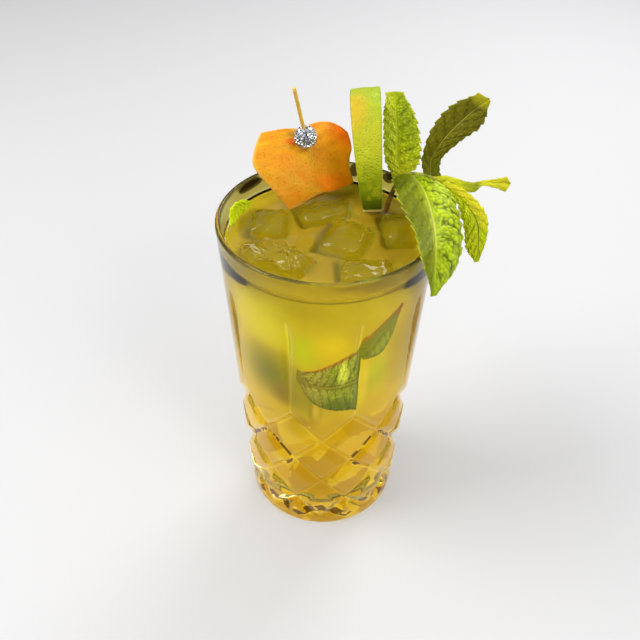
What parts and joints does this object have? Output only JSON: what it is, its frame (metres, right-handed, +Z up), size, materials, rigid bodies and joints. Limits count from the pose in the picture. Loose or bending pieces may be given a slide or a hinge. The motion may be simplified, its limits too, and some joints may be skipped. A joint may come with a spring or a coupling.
{
  "type": "mojito cocktail",
  "caption": "Iced mojito in a tall cut highball glass, with a mint sprig, a lime wheel on the rim and orange peel on a beaded pick.",
  "frame": {"origin": "centre of the glass's flat base, which stands on z = 0", "axes": "+Z up along the glass's axis; the front of the drink faces -Y and the lime wheel is at the back, towards +Y; +X to the right seen from the front"},
  "size_m": [0.1108, 0.1083, 0.1904],
  "materials": {
    "glass": "clear pressed glass, polished",
    "drink": "cloudy golden green drink, wet",
    "ice": "wet ice, partly clouded",
    "orange_peel": "pored orange skin with pale pith behind",
    "bamboo": "plain bamboo",
    "bead": "silver bead set with small clear facets",
    "lime": "pored green rind, wet pulp on the cut faces",
    "mint": "fresh veined leaf"
  },
  "bodies": {
    "root": {"glass": "glass", "drink": "drink", "ice_left_back": "ice", "ice_front_left": "ice", "ice_centre": "ice", "ice_front_right": "ice", "ice_right_back": "ice", "ice_back_centre": "ice", "orange_peel": "orange_peel", "pick": "bamboo", "bead": "bead", "lime_wheel": "lime", "mint_sprig": "mint", "mint_leaf_small": "mint"}
  },
  "joints": []
}
